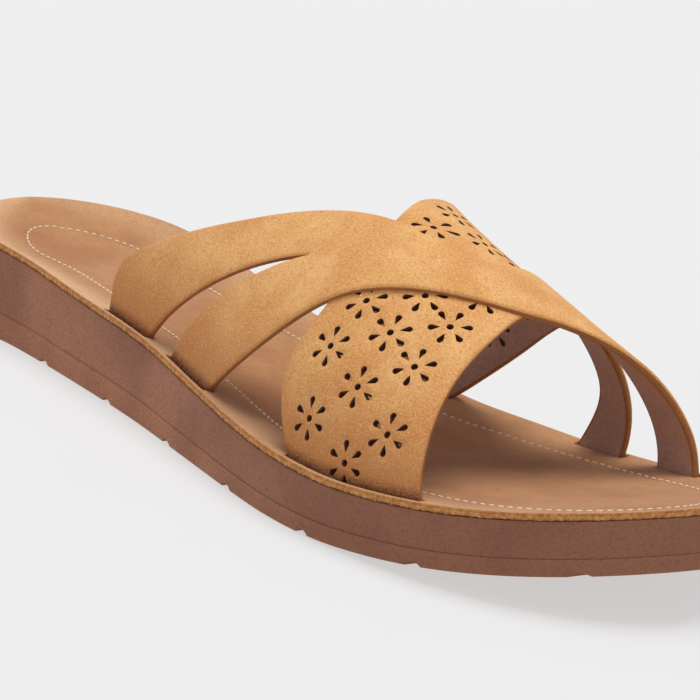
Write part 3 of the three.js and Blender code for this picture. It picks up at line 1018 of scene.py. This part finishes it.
def rubbed(spot):
    """Painted light: the cover is painted lighter along the rim, most round the outer side of the heel."""
    x, y = spot.x - HEEL_X, spot.y - SIDE_Y
    half = max(half_width(clamp(x, 1, SOLE_LENGTH - 1)), 1)
    to_rim = half * (1 - abs(across(x, y)))
    near_rim = 1 - smooth(to_rim, 1, 15)
    near_heel = 0.35 + 0.65 * (1 - smooth(x, 60, 130))
    return near_rim * near_heel * (1 if y < middle(x) else 0.5)


mark(cover, "rubbed", rubbed)

# %% [markdown]
# ## Thread
# Machine thread shows as short raised dashes with a small gap where the needle went down. Each dash is a
# small tapered pad that sinks into the cover at both its ends. One mesh holds all of them.

# %% Stitches
STITCH_PITCH = 2.15
STITCH_LENGTH = 1.65
STITCH_WIDTH = 0.56


def stitches():
    points, faces = [], []
    line = inset_line(outline, stitch_inset, STITCH_PITCH)
    for k, spot in enumerate(line):
        ahead = (line[(k + 1) % len(line)] - line[k - 1]).normalized()
        sway = 0.07 * math.sin(2.4 * k)
        ahead = Vector((ahead.x - sway * ahead.y, ahead.y + sway * ahead.x)).normalized()
        side = Vector((-ahead.y, ahead.x))
        first = len(points)
        for i in range(7):
            t = mix(-1, 1, i / 6)
            full = math.sqrt(max(1 - t * t, 0)) ** 0.6
            here = spot + ahead * (t * STITCH_LENGTH / 2)
            base = footbed(here.x, across(*here)) - CHANNEL_DEPTH
            for j in range(8):
                turn = 2 * math.pi * j / 8
                flank = here + side * (full * STITCH_WIDTH / 2 * math.cos(turn))
                lift = 0.16 + full * 0.28 * math.sin(turn) + 0.16 * (full - 1)
                points.append(Vector((flank.x, flank.y, base + lift)))
        for i in range(6):
            for j in range(8):
                a, b = first + 8 * i + j, first + 8 * i + (j + 1) % 8
                faces.append((a, a + 8, b + 8, b))
        faces.append([first + j for j in range(8)])
        faces.append([first + 48 + j for j in reversed(range(8))])
    print(len(line), "stitches")
    return new_piece("footbed_stitches", points, faces, [thread])


stitch_piece = stitches()

# %% [markdown]
# ## The moulded sole
# The sole is one light moulding with two bands round its side. The lower band draws in a little towards the
# ground, and has a fine lip where it meets the upper one. The skin has the fine pebble of the mould, and is
# painted darker towards the toe, a painted shade. Cross grooves run over the ground face and show as small
# notches along the lower edge. The bands are lofted from the same outline, and the grooves and the strap
# slots are cut with booleans, as they are in the CAD.

# %% Finishes of the sole
def moulded_skin(name, light, dark):
    material, start, place = new_finish(name)
    pebble = start.node("ShaderNodeTexVoronoi", sockets={"Vector": place, "Scale": 1.1, "Randomness": 1.0})
    fine = cloud(start, place, 0.6, 3.0, 0.6)
    patch = cloud(start, place, 22, 2.0)
    base = patch.between(0.3, 0.75).blend(light, dark)
    # Painted shade: the skin is painted darker towards the toe.
    ahead = start.node("ShaderNodeSeparateXYZ", sockets={"Vector": place}, output="X")
    base = (ahead.between(-10, 90) * 0.45).blend(base, ink(120, 74, 54))
    colour = (fine.between(0.42, 0.7) * 0.5).blend(base, ink(114, 70, 50))
    return wear(material, start, colour, 0.55 + 0.25 * fine, 0.6 * pebble + 0.6 * fine, 0.09)


upper_band = moulded_skin("midsole_skin", ink(172, 113, 83), ink(146, 93, 67))
lower_band = moulded_skin("outsole_skin", ink(176, 115, 81), ink(152, 96, 66))
print("finishes:", upper_band.name, lower_band.name)

# %% Lofting a layer of the sole
def moulded_layer(name, bottom, top, wall, finish, across_count=20):
    """A layer of the sole. Each ring of its wall says how far out it lies and its share of the height."""
    points, faces = [], []
    rings = []
    for out, up in wall:
        rings.append(list(range(len(points), len(points) + len(outline))))
        for point, outward in outline:
            spot = point + outward * out
            points.append(Vector((*spot, mix(bottom(point.x, 1), top(point.x, 1), up))))
    size = len(outline)
    for low, high in zip(rings, rings[1:]):
        faces += [(low[i], low[(i + 1) % size], high[(i + 1) % size], high[i]) for i in range(size)]
    for ring, height, upward in ((rings[0], bottom, False), (rings[-1], top, True)):
        rows = []
        for i in range(size // 2 + 1):
            outer, inner = ring[i], ring[(size - i) % size]
            row = [outer]
            for j in range(1, across_count):
                share = j / across_count
                spot = points[outer].lerp(points[inner], share)
                spot.z = height(outline[i][0].x, mix(-1, 1, share))
                row.append(len(points))
                points.append(spot)
            rows.append(row + [inner])
        for a, b in zip(rows, rows[1:]):
            first, second = (a, b) if upward else (b, a)
            faces += [(first[j], second[j], second[j + 1], first[j + 1]) for j in range(across_count)]
    piece = new_piece(name, points, faces, [finish])
    shape = bmesh.new()
    shape.from_mesh(piece.data)
    bmesh.ops.remove_doubles(shape, verts=shape.verts, dist=1e-6)
    bmesh.ops.dissolve_degenerate(shape, edges=shape.edges, dist=1e-6)
    bmesh.ops.recalc_face_normals(shape, faces=shape.faces)
    shape.to_mesh(piece.data)
    shape.free()
    print(name, "has", len(piece.data.polygons), "faces")
    return piece


def carve(piece, cutters):
    """Cut shapes out of a piece and drop the cutters."""
    for cutter in cutters:
        cut = piece.modifiers.new("cut", "BOOLEAN")
        cut.operation = "DIFFERENCE"
        cut.object = cutter
        cut.solver = "EXACT"
    bpy.context.view_layer.update()
    carved = bpy.data.meshes.new_from_object(piece.evaluated_get(bpy.context.evaluated_depsgraph_get()))
    piece.modifiers.clear()
    piece.data = carved
    for cutter in cutters:
        bpy.data.objects.remove(cutter)
    print(piece.name, "has", len(carved.polygons), "faces after", len(cutters), "cuts")


print("loft ready over", len(outline), "points of outline")

# %% The board under the cover
def round_wall(out, bulge, count=6):
    """A wall that swells to a soft half round."""
    turns = [math.pi * i / count for i in range(count + 1)]
    return [(out + bulge * math.sin(t), (1 - math.cos(t)) / 2) for t in turns]


def wrap_bottom(x, side):
    return board_height(x, side) - SEAM + 0.04


def wrap_top(x, side):
    return board_height(x, side) + BOARD + 0.3


board = moulded_layer("footbed_wrap", wrap_bottom, wrap_top, round_wall(-0.28, 0.18), wrap)
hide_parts("footbed_board")


def lower_border(spot):
    """1 along the lower border of the wrap, where it is turned under, and 0 higher up."""
    x = clamp(spot.x - HEEL_X, 1, SOLE_LENGTH - 1)
    return 1 - smooth(spot.z - wrap_bottom(x, across(x, spot.y - SIDE_Y)), 0.05, 0.45)


mark(board, "lower_border", lower_border)

# %% The two bands of the sole
def midsole_bottom(x, side):
    return band_line(x) + 0.02


def midsole_top(x, side):
    return rim_line(x) - cup(x, side)


def ground(x, side):
    return floor_line(x)


def band_top(x, side):
    return band_line(x)


MIDSOLE_WALL = [
    (-0.3, 0), (-0.22, 0.05), (-0.2, 0.2), (-0.15, 0.5), (-0.05, 0.75), (0, 0.92), (-0.15, 0.98),
    (-0.5, 1),
]
OUTSOLE_WALL = [
    (-0.95, 0), (-0.7, 0.04), (-0.6, 0.14), (-0.45, 0.5), (-0.34, 0.8), (-0.2, 0.93), (-0.12, 0.96),
    (-0.3, 1),
]
midsole = moulded_layer("midsole_band", midsole_bottom, midsole_top, MIDSOLE_WALL, upper_band)
outsole = moulded_layer("outsole_band", ground, band_top, OUTSOLE_WALL, lower_band)
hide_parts("midsole")
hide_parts("outsole")

# %% Slots and grooves
def slot_cutter(rear, front, over):
    """A block round a strap's end, as deep as the end is let in."""
    sign = 1 if over == 0 else -1
    stations = [mix(rear(over) - SEAM, front(over) + SEAM, i / 12) for i in range(13)]
    lows = [(over - sign * (TAIL + SEAM) / DROP_RATE), over + sign * 0.05]
    points, faces = [], []
    for place in lows:
        for height in (-SEAM, WALL + SLOT_PLAY):
            for x in stations:
                foot = last_point(x, over) + last_frame(x, over)[2] * height
                points.append(Vector((foot.x, foot.y, last_point(x, place).z)))
    n = len(stations)
    for i in range(n - 1):
        faces += [(i, i + 1, n + i + 1, n + i), (2 * n + i, 3 * n + i, 3 * n + i + 1, 2 * n + i + 1)]
        faces += [(i, 2 * n + i, 2 * n + i + 1, i + 1), (n + i, n + i + 1, 3 * n + i + 1, 3 * n + i)]
    faces += [(0, n, 3 * n, 2 * n), (n - 1, 3 * n - 1, 4 * n - 1, 2 * n - 1)]
    return closed_cutter("slot", points, faces)


def closed_cutter(name, points, faces):
    """A cutter whose faces all look outwards."""
    cutter = new_piece(name, points, faces, [])
    shape = bmesh.new()
    shape.from_mesh(cutter.data)
    bmesh.ops.recalc_face_normals(shape, faces=shape.faces)
    shape.to_mesh(cutter.data)
    shape.free()
    return cutter


GROOVE_FIRST, GROOVE_PITCH, GROOVE_COUNT = 28, 30.8, 8
GROOVE_HALF, GROOVE_DEPTH = 2, 1.2


def groove_cutter(x):
    """A rounded bar across the ground face."""
    turns = [math.pi * i / 8 for i in range(9)]
    section = [(GROOVE_HALF * math.cos(t), GROOVE_DEPTH * math.sin(t)) for t in turns]
    section += [(-GROOVE_HALF, -1), (GROOVE_HALF, -1)]
    points = [Vector((x + a, y, floor_line(x) + b)) for y in (-100, 100) for a, b in section]
    n = len(section)
    faces = [(i, (i + 1) % n, n + (i + 1) % n, n + i) for i in range(n)]
    faces += [tuple(range(n)), tuple(range(2 * n - 1, n - 1, -1))]
    return closed_cutter("groove", points, faces)


carve(midsole, [slot_cutter(*end) for end in STRAP_ENDS])
carve(board, [slot_cutter(*end) for end in STRAP_ENDS])
carve(outsole, [groove_cutter(GROOVE_FIRST + GROOVE_PITCH * k) for k in range(GROOVE_COUNT)])

# %% [markdown]
# ## The floor
# The floor of a catalogue shot is pale and even. It isn't part of the shoe.

# %% Floor
FLOOR_HALF = 8
corners = [(FLOOR_HALF * a, FLOOR_HALF * b, 0) for a, b in ((-1, -1), (1, -1), (1, 1), (-1, 1))]
floor_mesh = bpy.data.meshes.new("floor")
floor_mesh.from_pydata(corners, [], [(0, 1, 2, 3)])
floor = bpy.data.objects.new("floor", floor_mesh)
scene.collection.objects.link(floor)
paper, start, place = new_finish("paper", Emission_Color=(1, 1, 1, 1), Emission_Strength=0.55)
fibre = cloud(start, place, 40, 2.0)
wear(paper, start, fibre.blend(ink(146, 146, 146), ink(143, 143, 143)), 0.9 + 0.05 * fibre)
floor_mesh.materials.append(paper)
print("floor", 2 * FLOOR_HALF, "m wide")
